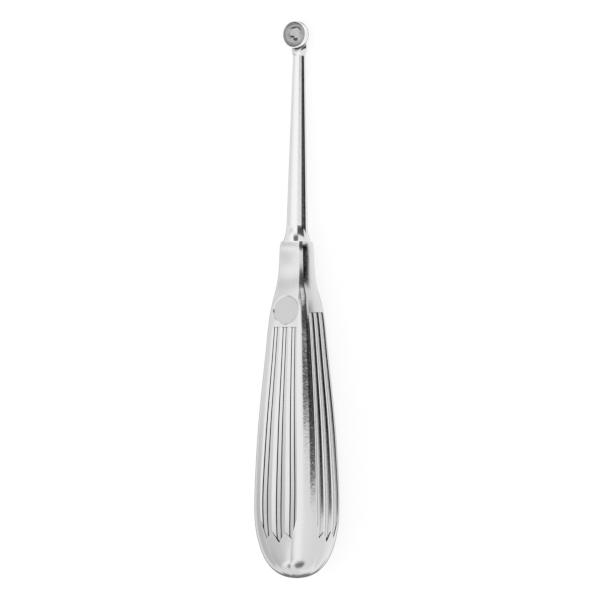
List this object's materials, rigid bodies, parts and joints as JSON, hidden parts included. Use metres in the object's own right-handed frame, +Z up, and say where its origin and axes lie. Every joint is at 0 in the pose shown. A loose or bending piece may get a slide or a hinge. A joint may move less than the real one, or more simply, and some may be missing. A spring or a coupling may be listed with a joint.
{
  "type": "bone curette",
  "caption": "Hand tool for scraping bone: a small round sharp spoon on a straight tapered shaft, with a large hollow four-sided fluted handle and a flat thumb disc.",
  "frame": {"origin": "on the surface that the tool lies on, under the middle of its length", "axes": "+Y from the butt of the handle to the spoon, +Z up, the way the thumb disc and the mouth of the spoon face, +X to the right of someone who looks down on it with the spoon away from them"},
  "size_m": [0.022, 0.1702, 0.0226],
  "materials": {
    "working_end": "fine satin polish, ground brighter on the rim of the spoon",
    "handle": "fine satin polish, buffed bright on the ridges"
  },
  "bodies": {
    "root": {"working_end": "working_end", "handle": "handle"}
  },
  "joints": []
}
